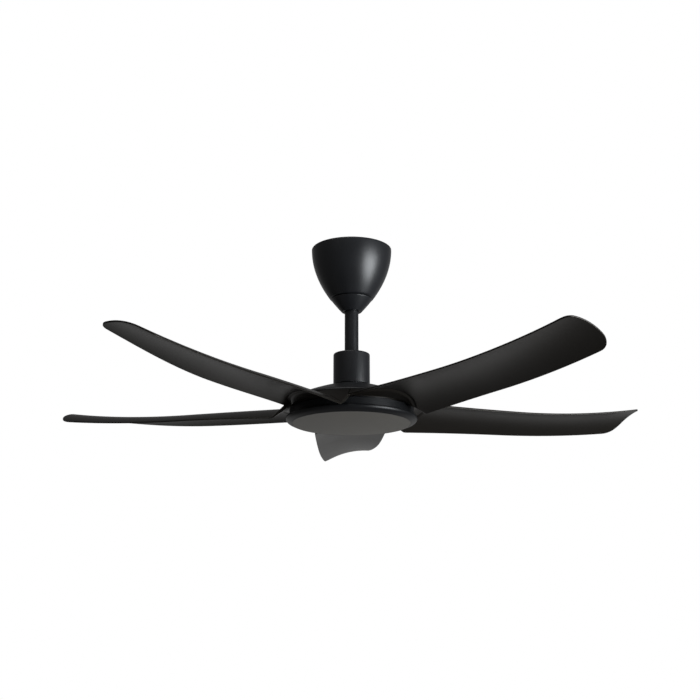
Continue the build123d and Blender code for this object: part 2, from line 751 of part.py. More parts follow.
# ---------------------------------------------------------------- motor: fixed side
with BuildPart() as motor_shaft:
    ring(shaft_radius, shaft_bore, shaft_bottom, shaft_top)
    ring(shoulder_radius, shaft_bore, floor_thickness, lower_bearing_foot)
finish(motor_shaft, "motor_shaft")

with BuildPart() as shaft_nuts:
    for foot in (-shaft_nut_height, upper_bearing_foot + bearing_width):
        hex_prism(shaft_nut_flats, shaft_nut_height, Plane.XY.offset(foot - fan_drop),
                  shaft_radius + hole_gap)
finish(shaft_nuts, "shaft_nuts")

stack_height = stator_top - stator_bottom
with BuildPart() as stator_core:
    with BuildSketch(Plane.XY.offset(stator_bottom - fan_drop)):
        Circle(stator_yoke_radius)
        shoe_inner = stator_radius - shoe_depth
        with PolarLocations(stator_radius / 2, stator_slots):
            Rectangle(stator_radius - shoe_depth / 2, tooth_width)
        with BuildLine() as shoe:
            shoe_angle = shoe_share * 360 / stator_slots
            outer_arc = CenterArc((0, 0), stator_radius, -shoe_angle / 2, shoe_angle)
            inner_arc = CenterArc((0, 0), shoe_inner, -shoe_angle / 2, shoe_angle)
            Line(outer_arc @ 0, inner_arc @ 0)
            Line(outer_arc @ 1, inner_arc @ 1)
        with PolarLocations(0, stator_slots):
            make_face(shoe.edges())
        Circle(shaft_radius + seat_gap, mode=Mode.SUBTRACT)
    extrude(amount=stack_height)
finish(stator_core, "stator_core")

coil_foot = stator_yoke_radius + coil_inset
coil_length = shoe_inner - coil_foot - coil_inset
with BuildPart() as stator_windings:
    with BuildSketch(Plane.XY.offset(stator_bottom - coil_thickness - fan_drop)):
        with PolarLocations(coil_foot + coil_length / 2, stator_slots):
            Rectangle(coil_length, tooth_width + 2 * coil_thickness)
    extrude(amount=stack_height + 2 * coil_thickness)
    fillet(stator_windings.edges().filter_by(Axis.Z), coil_round)
    with BuildSketch(Plane.XY.offset(stator_bottom - hole_gap - fan_drop)):
        with PolarLocations(coil_foot + coil_length / 2, stator_slots):
            Rectangle(2 * coil_length, tooth_width + 2 * hole_gap)
    extrude(amount=stack_height + 2 * hole_gap, mode=Mode.SUBTRACT)
finish(stator_windings, "stator_windings")

# ---------------------------------------------------------------- light: housing and trim ring
trim_screw_circle = ring_radius - ring_wall - trim_screw_inset
with BuildPart() as light_housing:
    ring(ring_radius, shaft_radius + hole_gap, 0, floor_thickness)
    ring(ring_radius, ring_radius - ring_wall, 0, ring_top)
    with Locations((0, 0, -fan_drop)):
        with PolarLocations(trim_screw_circle, trim_screw_count, start_angle=45):
            Cylinder(small_screw_radius + hole_gap, through_cut, mode=Mode.SUBTRACT)
    fillet(light_housing.faces().sort_by(Axis.Z)[-1].edges(), ring_wall / 3)
finish(light_housing, "light_housing")

diffuser_seat = trim_bottom + diffuser_wall + slide_gap
ledge_top = diffuser_seat + ledge_thickness
ledge_radius = diffuser_skirt_radius + ledge_gap
lug_radius = diffuser_skirt_radius + lug_reach
with BuildPart() as light_trim:
    with BuildSketch(Plane.XZ):
        wall_radius = diffuser_radius + slide_gap
        flange_radius = trim_screw_circle - trim_screw_inset
        joint_radius = ring_radius + slide_gap
        foot_radius = wall_radius + trim_foot
        with BuildLine():
            Polyline((foot_radius, trim_bottom - fan_drop), (wall_radius, trim_bottom - fan_drop),
                     (wall_radius, diffuser_seat - fan_drop), (ledge_radius, diffuser_seat - fan_drop),
                     (ledge_radius, ledge_top - fan_drop), (wall_radius, ledge_top - fan_drop),
                     (wall_radius, -trim_flange - fan_drop), (flange_radius, -trim_flange - fan_drop),
                     (flange_radius, -fan_drop), (joint_radius, -fan_drop),
                     (joint_radius, trim_lip - fan_drop))
            upper = Spline((joint_radius, trim_lip - fan_drop), (trim_radius, trim_widest - fan_drop),
                           tangents=((1, -0.1), (0, -1)))
            Spline(upper @ 1, (foot_radius, trim_bottom - fan_drop), tangents=((0, -1), (-1, -0.6)))
        make_face()
    revolve(axis=Axis.Z)
    with BuildSketch(Plane.XY.offset(diffuser_seat - fan_drop)):
        with PolarLocations(0, lug_count, start_angle=90):
            Polygon(*wedge(wall_radius, (lug_angle + gate_margin) / 2), align=None)
    extrude(amount=ledge_top - diffuser_seat, mode=Mode.SUBTRACT)
    with Locations((0, 0, -fan_drop)):
        with PolarLocations(trim_screw_circle, trim_screw_count, start_angle=45):
            Cylinder(small_screw_radius + hole_gap, 3 * trim_flange, mode=Mode.SUBTRACT)
finish(light_trim, "light_trim")

with BuildPart() as trim_screws:
    with Locations((0, 0, floor_thickness - fan_drop)):
        with PolarLocations(trim_screw_circle, trim_screw_count, start_angle=45):
            screw(1.6 * small_screw_radius, screw_head_height, small_screw_radius,
                  floor_thickness + trim_flange)
finish(trim_screws, "trim_screws")

# ---------------------------------------------------------------- light: diffuser with its bayonet lugs
with BuildPart() as diffuser:
    with BuildSketch(Plane.XZ):
        edge = trim_bottom - fan_drop
        with BuildLine():
            outside = TangentArc((0, edge - diffuser_dome), (diffuser_radius, edge), tangent=(1, 0))
            skirt_inner = diffuser_skirt_radius - diffuser_wall
            skirt_top = skirt_top_height - fan_drop
            Polyline(outside @ 1, (diffuser_radius, edge + diffuser_wall),
                     (diffuser_skirt_radius, edge + diffuser_wall), (diffuser_skirt_radius, skirt_top),
                     (skirt_inner, skirt_top), (skirt_inner, edge + diffuser_wall))
            inside = TangentArc((0, edge - diffuser_dome + diffuser_wall),
                                (skirt_inner, edge + diffuser_wall), tangent=(1, 0))
            Line(inside @ 0, outside @ 0)
        make_face()
    revolve(axis=Axis.Z)
    with BuildSketch(Plane.XY.offset(ledge_top + lug_gap - fan_drop)):
        with PolarLocations(0, lug_count, start_angle=90 + lug_rest):
            Polygon(*wedge(2 * lug_radius, lug_angle / 2), align=None)
        Circle(lug_radius, mode=Mode.INTERSECT)
        Circle(diffuser_skirt_radius - diffuser_wall / 2, mode=Mode.SUBTRACT)
    extrude(amount=lug_thickness)
finish(diffuser, "diffuser")

# ---------------------------------------------------------------- light: LEDs, driver and control board
with BuildPart() as led_board:
    ring(led_board_radius, led_board_hole, -board_thickness, 0)
finish(led_board, "led_board")

with BuildPart() as leds:
    for share, count in zip(led_ring_shares, led_ring_counts):
        with Locations((0, 0, -board_thickness - fan_drop)):
            with PolarLocations(share * led_board_radius, count):
                Box(led_size, led_size, led_height, align=hanging)
finish(leds, "leds")

with BuildPart() as led_driver:
    with Locations((driver_centre, 0, floor_thickness - fan_drop)):
        Box(driver_length, driver_width, driver_height, align=upright)
    fillet(led_driver.edges().filter_by(Axis.Z), driver_round)
finish(led_driver, "led_driver")

with BuildPart() as control_board:
    with Locations((-driver_centre, 0, floor_thickness - fan_drop)):
        Box(driver_length, control_board_width, board_thickness, align=upright)
    with Locations((-driver_centre, 0, floor_thickness + board_thickness - fan_drop)):
        with GridLocations(0, driver_width, 1, 2):
            Cylinder(capacitor_radius, driver_height - board_thickness, align=upright)
        with Locations((driver_length / 4, 0)):
            Box(chip_size, chip_size, chip_height, align=upright)
finish(control_board, "control_board")

# ---------------------------------------------------------------- blades


def blade_slab(top, bottom):
    """The blade's curved slab, wider than its outline, between two depths from its top surface."""
    half = blade_half_width
    sag = blade_section_radius - sqrt(blade_section_radius**2 - half**2)
    reach = blade_tip_radius + slab_overrun - slab_start
    span = blade_tip_radius - blade_flat_end
    with BuildPart() as slab:
        for station in range(slab_stations):
            radius = slab_start + reach * station / (slab_stations - 1)
            rise = blade_upsweep * max(radius - blade_flat_end, 0) ** 2
            pitch = radians(blade_pitch + blade_washout * ((radius - blade_flat_end) / span) ** 2)
            origin = (radius, blade_offset + blade_sweep * radius, blade_crown + rise - fan_drop)
            with BuildSketch(Plane(origin, x_dir=(0, cos(pitch), -sin(pitch)), z_dir=(1, 0, 0))):
                with BuildLine():
                    upper = ThreePointArc((-half, -top - sag), (0, -top), (half, -top - sag))
                    lower = ThreePointArc((-half, -bottom - sag), (0, -bottom), (half, -bottom - sag))
                    Line(upper @ 0, lower @ 0)
                    Line(upper @ 1, lower @ 1)
                make_face()
        loft()
    return slab.part


root_sector = (seam_point(-seam_foot, -blade_step, 1), seam_point(blade_tip_radius, -blade_step, 1),
               seam_point(2 * blade_tip_radius, 0, -1), seam_point(-seam_foot, 0, -1))
leading_step = (blade_tip_radius - leading_tip_setback - outline_start) / (len(leading_offsets) - 1)
tip_trailing = blade_tip_radius - trailing_tip_setback
with BuildSketch() as blade_outline:
    with BuildLine():
        leading = Spline(*[(outline_start + leading_step * i, v) for i, v in enumerate(leading_offsets)])
        trailing = ThreePointArc((outline_start, trailing_offsets[0]),
                                 ((outline_start + tip_trailing) / 2, trailing_offsets[1]),
                                 (tip_trailing, trailing_offsets[2]))
        ThreePointArc(leading @ 1, (blade_tip_radius - bulge_setback, tip_bulge), trailing @ 1)
        Line(leading @ 0, trailing @ 0)
    make_face()
    leading_corner = vertices().sort_by(Axis.X)[-2:].sort_by(Axis.Y)[0]
    fillet(leading_corner, tip_leading_round)
    trailing_corner = vertices().sort_by(Axis.X)[-3:].sort_by(Axis.Y)[-1]
    fillet(trailing_corner, tip_trailing_round)
    Polygon(*root_sector, align=None, mode=Mode.INTERSECT)

pad_top = plate_top + root_thickness
band_outer = root_inner_radius + root_clearance
flare_foot = plate_top - root_flare_drop - fan_drop
with BuildPart() as below_blade:
    add(blade_slab(blade_thickness / 2, blade_under_depth))
    with Locations((0, 0, -fan_drop)):
        Cylinder(band_outer, through_cut, mode=Mode.SUBTRACT)

with BuildPart() as blade_root:
    with BuildSketch(Plane.XZ):
        band_inner = root_inner_radius - band_overlap
        with BuildLine():
            Polyline((band_inner, plate_top - fan_drop), (band_outer, plate_top - fan_drop),
                     (root_flare_radius, flare_foot), (root_flare_radius, flare_foot + root_thickness),
                     (band_outer + root_shoulder, root_crest - fan_drop),
                     (band_inner, root_crest - fan_drop), close=True)
        make_face()
    revolve(axis=Axis.Z)
    with BuildSketch(Plane.XY.offset(-fan_drop)):
        Polygon(*root_sector, align=None)
    extrude(amount=through_cut / 2, both=True, mode=Mode.INTERSECT)
    add(below_blade.part, mode=Mode.SUBTRACT)

with BuildPart() as blade_form:
    add(blade_slab(0, blade_thickness))
    with BuildSketch(Plane.XY.offset(-fan_drop)):
        add(blade_outline.sketch)
    extrude(amount=through_cut / 2, both=True, mode=Mode.INTERSECT)
    with BuildSketch(Plane.XZ):
        with BuildLine():
            Polyline((0, 0), (root_inner_radius, 0), (root_inner_radius, plate_top - fan_drop),
                     (band_outer, plate_top - fan_drop), (root_flare_radius, flare_foot),
                     (root_flare_radius, -through_cut), (0, -through_cut), close=True)
        make_face()
    revolve(axis=Axis.Z, mode=Mode.SUBTRACT)
    add(blade_root.part)
    with BuildSketch(Plane.XY.offset(plate_top - fan_drop)):
        Circle(root_inner_radius - pad_overlap)
        Circle(pad_inner_radius, mode=Mode.SUBTRACT)
        Polygon(*wedge(2 * root_inner_radius, pad_half_angle), align=None, mode=Mode.INTERSECT)
        with Locations(*[at_datum(blade_screw_circle, 0, turn)[:2] for turn in blade_screw_angles]):
            Circle(blade_screw_radius + hole_gap, mode=Mode.SUBTRACT)
    extrude(amount=root_thickness)

for number in range(blade_count):
    with BuildPart() as blade:
        with Locations(Location((0, 0, 0), (0, 0, blade_azimuth + number * blade_step))):
            add(blade_form.part)
    finish(blade, f"blade_{number + 1}")
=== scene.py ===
"""Looks of a ceiling fan with light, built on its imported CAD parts.

The sections follow the fan as it is put together: the bracket on the ceiling, the hanger and the
rod, the canopy, the collar, the motor and its cover, the blades and the light. The studio that it
hangs in comes last. Lengths are in metres.
"""
import math

import bmesh
import bpy
import numpy as np
from mathutils import Matrix, Vector


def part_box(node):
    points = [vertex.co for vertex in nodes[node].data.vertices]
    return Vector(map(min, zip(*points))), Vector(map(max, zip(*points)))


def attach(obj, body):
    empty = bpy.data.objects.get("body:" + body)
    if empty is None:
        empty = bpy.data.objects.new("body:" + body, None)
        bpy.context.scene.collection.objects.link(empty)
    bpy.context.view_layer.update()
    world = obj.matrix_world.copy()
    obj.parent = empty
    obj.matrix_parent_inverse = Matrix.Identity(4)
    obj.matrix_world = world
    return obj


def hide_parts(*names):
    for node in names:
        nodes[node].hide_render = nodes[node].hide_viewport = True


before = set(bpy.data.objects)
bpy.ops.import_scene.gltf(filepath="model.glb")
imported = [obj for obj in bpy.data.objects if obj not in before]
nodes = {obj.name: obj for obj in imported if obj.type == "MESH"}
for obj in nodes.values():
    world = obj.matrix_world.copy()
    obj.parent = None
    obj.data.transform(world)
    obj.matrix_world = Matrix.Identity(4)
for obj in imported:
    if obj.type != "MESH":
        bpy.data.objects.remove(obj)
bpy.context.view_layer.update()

# ---------------------------------------------------------------- ceiling bracket
# A strap plate with two ears, screwed flat to the ceiling, and the bolt, nut, washers and split
# pin that carry the fan: pressed and turned steel, zinc plated. The terminal block is nylon.


def satin(name, colour, roughness, grain=0.00035, bump=0.06, metal=0.0, mottle=0.12, cloud=28):
    """A finished surface: a fine grain of its own size, and a gloss and tone that vary a little."""
    tone_swing = 0.12
    material = bpy.data.materials.new(name)
    material.use_nodes = True
    tree = material.node_tree
    shader = tree.nodes["Principled BSDF"]
    shader.inputs["Metallic"].default_value = metal
    place = tree.nodes.new("ShaderNodeTexCoord")
    peel = tree.nodes.new("ShaderNodeTexNoise")
    peel.inputs["Scale"].default_value = 1 / grain
    peel.inputs["Detail"].default_value = 2
    tree.links.new(place.outputs["Object"], peel.inputs["Vector"])
    relief = tree.nodes.new("ShaderNodeBump")
    relief.inputs["Strength"].default_value = bump
    relief.inputs["Distance"].default_value = grain
    tree.links.new(peel.outputs["Fac"], relief.inputs["Height"])
    tree.links.new(relief.outputs["Normal"], shader.inputs["Normal"])
    clouds = tree.nodes.new("ShaderNodeTexNoise")
    clouds.inputs["Scale"].default_value = cloud
    clouds.inputs["Detail"].default_value = 3
    tree.links.new(place.outputs["Object"], clouds.inputs["Vector"])
    gloss = tree.nodes.new("ShaderNodeMapRange")
    gloss.inputs["To Min"].default_value = roughness * (1 - mottle)
    gloss.inputs["To Max"].default_value = roughness * (1 + mottle)
    tree.links.new(clouds.outputs["Fac"], gloss.inputs["Value"])
    tree.links.new(gloss.outputs["Result"], shader.inputs["Roughness"])
    tone = tree.nodes.new("ShaderNodeMix")
    tone.data_type = "RGBA"
    tone.inputs["A"].default_value = (*[c * (1 - tone_swing) for c in colour], 1)
    tone.inputs["B"].default_value = (*[c * (1 + tone_swing) for c in colour], 1)
    tree.links.new(clouds.outputs["Fac"], tone.inputs["Factor"])
    tree.links.new(tone.outputs["Result"], shader.inputs["Base Color"])
    return material


def repaint(material, *names):
    """Finish carried-over CAD pieces with a material in place of their plain one."""
    for name in names:
        for index in range(len(nodes[name].data.materials)):
            nodes[name].data.materials[index] = material


zinc = satin("zinc_plate", (0.60, 0.61, 0.63), 0.34, grain=0.0008, bump=0.05, metal=1.0, cloud=60)
repaint(zinc, "ceiling_bracket", "roller_bolt", "roller_nut", "roller_washers", "roller_split_pin")
nylon = satin("natural_nylon", (0.66, 0.62, 0.53), 0.5, grain=0.0006, bump=0.05, cloud=90)
repaint(nylon, "terminal_block")

# ---------------------------------------------------------------- rubber roller and shackle
# The fan hangs on a grooved roller of black rubber that keeps its hum off the ceiling. A bent
# steel shackle goes over the roller and is bolted through the rod's top.
rubber = satin("moulded_rubber", (0.012, 0.012, 0.012), 0.72, grain=0.0005, bump=0.22, cloud=120)
repaint(rubber, "rubber_roller")
repaint(zinc, "shackle", "shackle_bolt", "shackle_nut", "shackle_split_pin")

# ---------------------------------------------------------------- downrod, receiver and wires
# A 27 mm steel tube, powder coated satin black, with a slot for the wires. The remote control's
# receiver is a small white case beside it, and the wires run down inside in one grey jacket.
rod_coat = satin("powder_coat", (0.011, 0.0115, 0.0135), 0.31, grain=0.0006, bump=0.10, cloud=45)
repaint(rod_coat, "downrod")
white_case = satin("white_case", (0.70, 0.70, 0.67), 0.42, grain=0.0004, bump=0.06, cloud=50)
repaint(white_case, "receiver_box")
jacket = satin("grey_jacket", (0.13, 0.13, 0.135), 0.45, grain=0.0007, bump=0.08, cloud=70)
repaint(jacket, "wire_bundle")

# ---------------------------------------------------------------- canopy
# The bell that hides the ceiling bracket: a shell moulded in satin black plastic, with a small
# cap screwed up into it below a shadow gap. It grips the rod and slides down it for wiring.
shell_low, shell_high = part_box("canopy_shell")
cap_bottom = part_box("canopy_cap")[0].z
canopy_radius = shell_high.x
canopy_rim = shell_high.z
canopy_foot_radius = 0.0205
canopy_wall = 0.002
canopy_taper = (canopy_radius - canopy_foot_radius) / (canopy_rim - cap_bottom) ** 2
rim_round_in, rim_round_down = 0.0010, 0.0008
foot_round_in, foot_round_up = 0.0006, 0.0004
flange_hole = 0.0195
seam_gap = 0.0014
cap_inset = 0.0009
cap_floor = 0.0025
cap_top_round, cap_foot_round = 0.0005, 0.0008
cap_cavity_round = 0.0007
cap_sleeve_height = 0.012
cap_neck_bore, cap_neck_radius = 0.0235, 0.0350
rod_bore = 0.0138
sleeve_radius = 0.0178


def bell(top, bottom, inset, steps):
    """Points down the bell's parabola between two heights, set in by an amount."""
    heights = [top + (bottom - top) * i / steps for i in range(steps + 1)]
    return [(canopy_radius - canopy_taper * (canopy_rim - z) ** 2 - inset, z) for z in heights]


def lathe(name, outline, segments=160, closed=True):
    """A turned mesh from an outline of (radius, height) points."""
    mesh = bpy.data.meshes.new(name)
    form = bmesh.new()
    turns = [math.tau * i / segments for i in range(segments)]
    rows = []
    for radius, height in outline:
        if radius < 1e-6:
            rows.append([form.verts.new((0, 0, height))])
        else:
            rows.append([form.verts.new((radius * math.cos(t), radius * math.sin(t), height))
                         for t in turns])
    pairs = list(zip(rows, rows[1:]))
    if closed:
        pairs.append((rows[-1], rows[0]))
    for low, high in pairs:
        for i in range(segments):
            j = (i + 1) % segments
            corners = [low[i % len(low)], low[j % len(low)],
                       high[j % len(high)], high[i % len(high)]]
            corners = list(dict.fromkeys(corners))
            if len(corners) > 2:
                form.faces.new(corners)
    bmesh.ops.recalc_face_normals(form, faces=form.faces)
    form.to_mesh(mesh)
    form.free()
    mesh.shade_smooth()
    piece = bpy.data.objects.new(name, mesh)
    bpy.context.scene.collection.objects.link(piece)
    return piece


def dress(piece, material, body, node):
    """Finish a piece that stands for a CAD node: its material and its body."""
    piece.data.materials.append(material)
    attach(piece, body)
    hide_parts(node)


satin_black = satin("satin_black", (0.012, 0.0128, 0.015), 0.36)
shell_foot = shell_low.z
outside = bell(canopy_rim - rim_round_down, shell_foot + foot_round_up, 0, 40)
inside = bell(shell_foot + canopy_wall, canopy_rim - rim_round_down / 2, canopy_wall, 40)
rim_top = (canopy_radius - rim_round_in, canopy_rim)
rim_turn = (canopy_radius - 0.3 * rim_round_in, canopy_rim - rim_round_down / 4)
foot_edge = [(outside[-1][0] - foot_round_in, shell_foot)]
flange_edge = [(flange_hole, shell_foot), (flange_hole, shell_foot + canopy_wall)]
shell = lathe("bell_shell", [rim_top, rim_turn] + outside + foot_edge + flange_edge + inside)
dress(shell, satin_black, "canopy", "canopy_shell")

seam_top = shell_foot - seam_gap
outside = bell(seam_top - cap_top_round, cap_bottom + cap_foot_round, cap_inset, 20)
lip = [(outside[0][0] - foot_round_in, seam_top)]
foot = [(outside[-1][0] - foot_round_in, cap_bottom), (rod_bore, cap_bottom)]
sleeve = [(rod_bore, cap_bottom + cap_sleeve_height), (sleeve_radius, cap_bottom + cap_sleeve_height),
          (sleeve_radius, cap_bottom + cap_floor)]
cavity = bell(cap_bottom + cap_floor + cap_cavity_round, seam_top - canopy_wall,
              cap_inset + canopy_wall, 12)
neck = [(cap_neck_bore, seam_top - canopy_wall), (cap_neck_bore, shell_foot),
        (cap_neck_radius, shell_foot), (cap_neck_radius, seam_top)]
cap = lathe("bell_cap", lip + outside + foot + sleeve + cavity + neck)
dress(cap, satin_black, "canopy", "canopy_cap")

# ---------------------------------------------------------------- collar and coupling
# The collar is a moulded black tube with a rounded shoulder that slides down over the coupling,
# a turned alloy block that clamps the rod to the motor's shaft with four black screws.
collar_low, collar_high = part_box("coupling_cover")
collar_radius = collar_high.x
collar_top, collar_foot = collar_high.z, collar_low.z
collar_wall = 0.002
collar_sleeve_height = 0.009


def rounded(outline, radii, steps=5):
    """An outline with its corners rounded: one radius for each point, 0 to leave it as it is."""
    points = []
    count = len(outline)
    for i, radius in enumerate(radii):
        corner = Vector(outline[i])
        before = Vector(outline[i - 1]) - corner
        after = Vector(outline[(i + 1) % count]) - corner
        if radius <= 0:
            points.append(tuple(corner))
            continue
        half = before.angle(after) / 2
        reach = min(radius / math.tan(half), before.length * 0.49, after.length * 0.49)
        start = corner + before.normalized() * reach
        end = corner + after.normalized() * reach
        for k in range(steps + 1):
            t = k / steps
            points.append(tuple(start * (1 - t) ** 2 + corner * 2 * t * (1 - t) + end * t**2))
    return points


collar_corners = [
    (rod_bore, collar_top, 0.0006),
    (collar_radius, collar_top, 0.003),
    (collar_radius, collar_foot, 0.0007),
    (collar_radius - collar_wall, collar_foot, 0.0005),
    (collar_radius - collar_wall, collar_top - collar_wall, 0.001),
    (sleeve_radius, collar_top - collar_wall, 0.001),
    (sleeve_radius, collar_top - collar_sleeve_height, 0.0004),
    (rod_bore, collar_top - collar_sleeve_height, 0.0004),
]
collar_outline = rounded([corner[:2] for corner in collar_corners],
                         [corner[2] for corner in collar_corners], steps=6)
collar = lathe("collar_tube", collar_outline)
dress(collar, satin_black, "collar", "coupling_cover")
cast_alloy = satin("cast_alloy", (0.56, 0.57, 0.58), 0.42, grain=0.0010, bump=0.12, metal=1.0,
                   cloud=35)
repaint(cast_alloy, "shaft_coupling")
black_oxide = satin("black_oxide", (0.045, 0.045, 0.048), 0.38, grain=0.0005, bump=0.05,
                    metal=0.8, cloud=80)
repaint(black_oxide, "coupling_screws", "canopy_screws")

# ---------------------------------------------------------------- motor
# A flat outer-rotor motor: a cast hub plate and bell turn on two ball bearings about a hollow
# shaft that carries the stator, a laminated core with a copper coil round each tooth.


def banded(name, colour, gap_colour, pitch, roughness, metal):
    """A surface made of fine layers or turns of wire, one to each pitch up the height."""
    wave_length = 0.314  # of a band at scale 1
    material = satin(name, colour, roughness, grain=pitch, bump=0.05, metal=metal, cloud=60)
    tree = material.node_tree
    shader = tree.nodes["Principled BSDF"]
    waves = tree.nodes.new("ShaderNodeTexWave")
    waves.bands_direction = "Z"
    waves.inputs["Scale"].default_value = wave_length / pitch
    waves.inputs["Distortion"].default_value = 0.6
    tree.links.new(tree.nodes["Texture Coordinate"].outputs["Object"], waves.inputs["Vector"])
    groove = tree.nodes.new("ShaderNodeBump")
    groove.inputs["Strength"].default_value = 0.6
    groove.inputs["Distance"].default_value = pitch
    tree.links.new(waves.outputs["Fac"], groove.inputs["Height"])
    tree.links.new(groove.outputs["Normal"], shader.inputs["Normal"])
    tone = tree.nodes.new("ShaderNodeMix")
    tone.data_type = "RGBA"
    tone.inputs["A"].default_value = (*gap_colour, 1)
    tone.inputs["B"].default_value = (*colour, 1)
    tree.links.new(waves.outputs["Fac"], tone.inputs["Factor"])
    tree.links.new(tone.outputs["Result"], shader.inputs["Base Color"])
    return material


repaint(cast_alloy, "motor_bell")
repaint(rod_coat, "hub_plate")
repaint(zinc, "bell_screws", "blade_screws", "cover_screws", "motor_shaft", "shaft_nuts")
magnet = satin("sintered_magnet", (0.085, 0.085, 0.09), 0.5, grain=0.0006, bump=0.15, metal=0.6,
               cloud=140)
repaint(magnet, "magnet_ring")
ground_steel = satin("ground_steel", (0.72, 0.73, 0.75), 0.16, grain=0.0003, bump=0.02,
                     metal=1.0, cloud=40)
repaint(ground_steel, "bearing_outer_races", "bearing_inner_races", "bearing_balls")
core_steel = banded("laminated_core", (0.36, 0.37, 0.39), (0.10, 0.10, 0.11), 0.0007, 0.45, 1.0)
repaint(core_steel, "stator_core")
copper = banded("copper_coils", (0.66, 0.27, 0.10), (0.20, 0.07, 0.03), 0.0009, 0.3, 1.0)
repaint(copper, "stator_windings")

# ---------------------------------------------------------------- hub cover
# The shallow dome over the motor, moulded in the canopy's satin black and screwed up from the
# hub plate through five posts. Its rim rolls down over the blades' roots, and it turns with them.
datum = -0.3455
blade_count = 5
blade_step = math.tau / blade_count
blade_azimuth = math.radians(13.15)
plate_top = 0.0178
root_crest = 0.0304
cover_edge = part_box("hub_cover")[1]
cover_top = cover_edge.z
cover_neck_radius = 0.0365
cover_rim = (cover_edge.x, datum + 0.0334)
cover_wall = 0.0025
cover_bulge = 0.0022
cover_hole = 0.024
cover_gap = 0.00005
hole_round, neck_round = 0.0005, 0.0008
post_circle = 0.0967
post_radius = 0.0045


def dome(drop, steps=28):
    """Points down the cover's dome from its neck to its rim, set down by an amount."""
    points = []
    for i in range(steps + 1):
        t = i / steps
        lift = cover_bulge * 4 * t * (1 - t)
        points.append((cover_neck_radius + (cover_rim[0] - cover_neck_radius) * t,
                       cover_top + (cover_rim[1] - cover_top) * t + lift - drop))
    return points


upper, lower = dome(0)[:-1], dome(cover_wall)[-2::-1]
rim_foot = (cover_rim[0], datum + root_crest + cover_gap)
roll = [tuple((1 - t) ** 2 * a + 2 * t * (1 - t) * b + t * t * c
              for a, b, c in zip(upper[-1], cover_rim, rim_foot)) for t in (0.2, 0.4, 0.6, 0.8, 1.0)]
rim_back = (cover_rim[0] - cover_wall, rim_foot[1])
cover_outline = [(cover_hole, cover_top)] + upper + roll + [rim_back] + lower
cover_outline += [(cover_hole, cover_top - cover_wall)]
cover_radii = [hole_round, neck_round] + [0] * (len(cover_outline) - 3) + [hole_round]
cover = lathe("hub_dome", rounded(cover_outline, cover_radii), segments=240)
dress(cover, satin_black, "rotor", "hub_cover")
post_top = np.interp(post_circle, *zip(*upper)) - cover_wall / 2
post_outline = [(0, datum + plate_top), (post_radius, datum + plate_top),
                (post_radius, post_top), (0, post_top)]
for number in range(blade_count):
    post = lathe(f"cover_post_{number + 1}", post_outline, segments=32, closed=False)
    turn = blade_azimuth + (number + 0.5) * blade_step
    post.location = (post_circle * math.cos(turn), post_circle * math.sin(turn), 0)
    dress(post, satin_black, "rotor", "hub_cover")

# ---------------------------------------------------------------- blades
# Five blades moulded in satin black plastic: a sheet crowned across its chord, flat near the hub
# and swept up to a rounded tip. The root flares into a band over the light's ring, and is screwed
# to the hub plate by a pad.
blade_thickness = 0.003
blade_crown = 0.0286     # highest line of the inner blade above the datum
section_radius = 0.1647
flat_end = 0.3318        # radius where the upsweep begins
upsweep = 0.278          # rise per square of radius past the flat
tip_radius = 0.610
pitch_inner = 3.4        # degrees at the end of the flat
pitch_more = 5.8         # and more at the tip
chord_offset = -0.0068
chord_sweep = 0.091
leading_ends = (0.095, 0.609)
leading_offsets = (-0.0764, -0.0532, -0.0338, -0.0112, 0.0095)  # at equal steps between its ends
trailing_points = ((0.095, 0.3445, 0.594), (0.0820, 0.1017, 0.1128))
tip_bulge = (0.607, 0.055)
tip_leading_round = 0.018
tip_trailing_round = 0.030
leading_corner_runs = (0.02, 0.012)   # lengths beside a tip corner that set its directions:
trailing_corner_runs = (0.04, 0.03)   # along the blade's edge, and along the tip
root_thickness = 0.004
root_shoulder = 0.1213
band_inner = 0.1148
band_outer = 0.1203
flare_end = (0.1520, -0.0057)
join_round = 0.0012      # fillet where the sheet meets the flare
seam_radius = 0.1198     # the slanted seam crosses the band here
seam_start = math.radians(40.1)
seam_lean = math.radians(18.3)
seam_half_gap = 0.0006
seam_bevel = 0.0004
seam_ends = (-0.03, 0.06)
scoop_reach = 0.0285     # the scoop that runs from the band out under the sheet
scoop_turn = math.radians(5)
scoop_half_angle = math.radians(36)
scoop_least = 0.04       # share of its reach that is left at its ends
groove_depth = 0.0015
groove_width = 0.0032
pad_inner = 0.0805
pad_overlap = 0.003
pad_angle = math.radians(27)
weld = 0.00002
sharp_angle = math.radians(50)

lead_u = np.linspace(*leading_ends, len(leading_offsets))
lead_curve = np.poly1d(np.polyfit(lead_u, leading_offsets, 4))
trail_curve = np.poly1d(np.polyfit(*trailing_points, 2))


def blade_top(u, v):
    """Height of the blade's curved top above the datum at a place along and across it."""
    pitch = np.radians(pitch_inner + pitch_more * ((u - flat_end) / (tip_radius - flat_end)) ** 2)
    rise = upsweep * np.maximum(u - flat_end, 0) ** 2
    across = v - chord_offset - chord_sweep * u
    along_arc = across.copy()
    for _ in range(4):
        sag = np.sqrt(section_radius**2 - along_arc**2) - section_radius
        along_arc = (across - sag * np.sin(pitch)) / np.cos(pitch)
    return blade_crown + rise - along_arc * np.sin(pitch) + sag * np.cos(pitch)


def join(a, b):
    """The higher of two surfaces, with a small fillet where they meet."""
    return (a + b + np.sqrt((a - b) ** 2 + join_round**2)) / 2


def circle_through(a, b, c):
    """Centre and radius of the circle through three points of the plan."""
    a, b, c = np.array(a), np.array(b), np.array(c)
    sums = np.array([b @ b - a @ a, c @ c - a @ a])
    centre = np.linalg.solve(np.array([b - a, c - a]), sums / 2)
    return centre, math.dist(centre, a)


